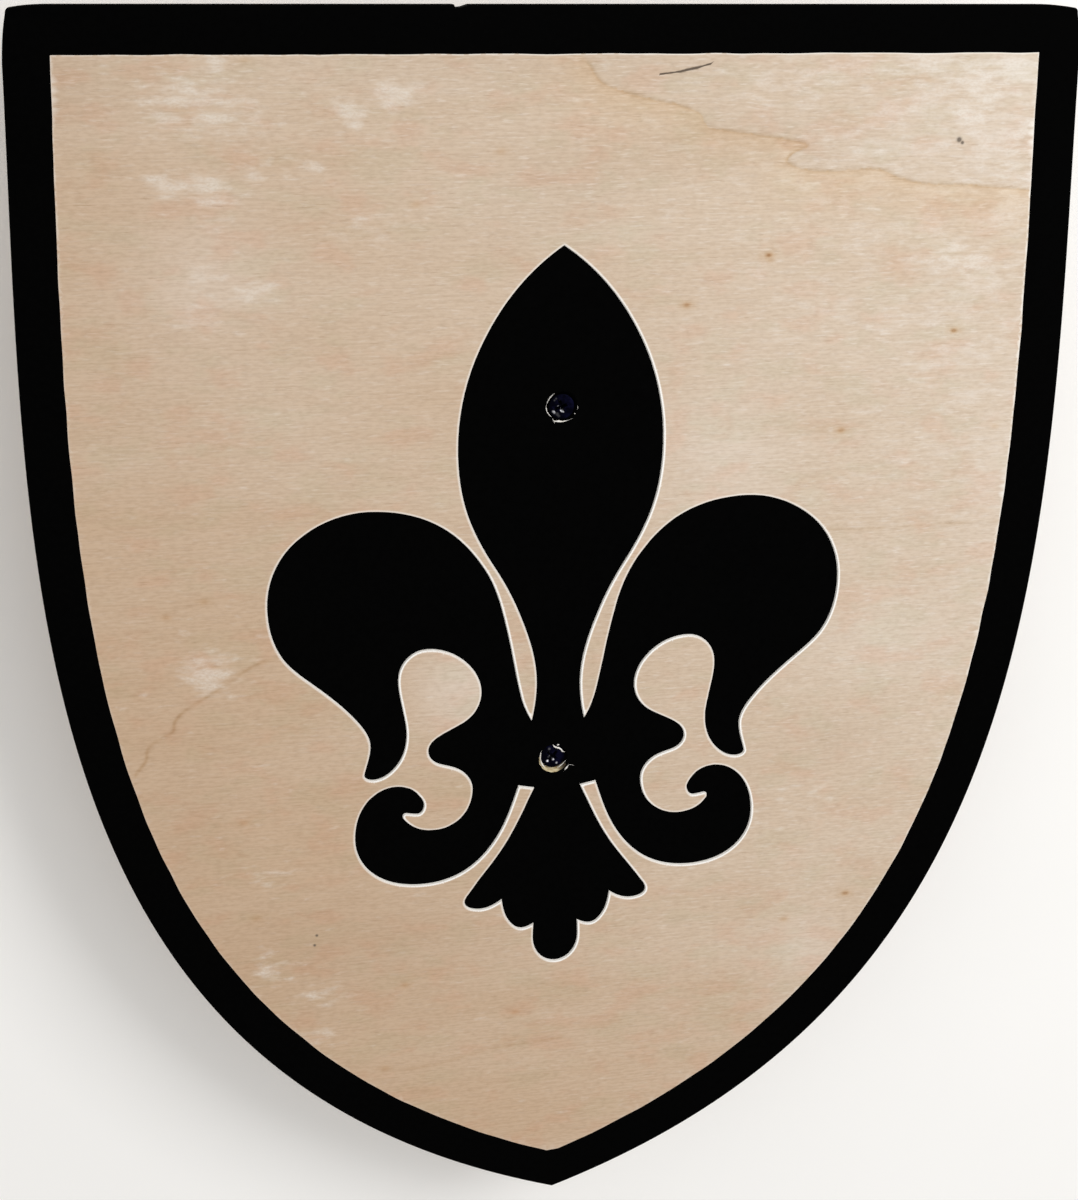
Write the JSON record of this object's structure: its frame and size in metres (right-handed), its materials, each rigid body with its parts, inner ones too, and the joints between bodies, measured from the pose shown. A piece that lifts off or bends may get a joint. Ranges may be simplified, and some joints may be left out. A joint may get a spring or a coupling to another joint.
{
  "type": "toy heater shield",
  "caption": "Small flat plywood heater shield with a black painted border, a black lily engraved in its face and a wooden bow grip screwed to its back.",
  "frame": {"origin": "on the ground under the middle of the board's bounding box, the shield lying face up on its grip", "axes": "+Z out of the painted face, +Y from the bottom point towards the straight top edge, +X to the right as the face is seen"},
  "size_m": [0.3245, 0.3982, 0.046],
  "materials": {
    "plywood": "bare pale plywood, lightly sanded, fine straight grain across the board",
    "black_paint": "dead flat black paint on the plywood's border and edges and in the engraved lily",
    "grip_wood": "solid softwood, planed and sanded round, bare",
    "black_steel": "black phosphated screw steel, dull with a faint blue sheen"
  },
  "bodies": {
    "root": {"board": "plywood", "grip": "grip_wood", "screw_upper": "black_steel", "screw_lower": "black_steel"}
  },
  "joints": []
}
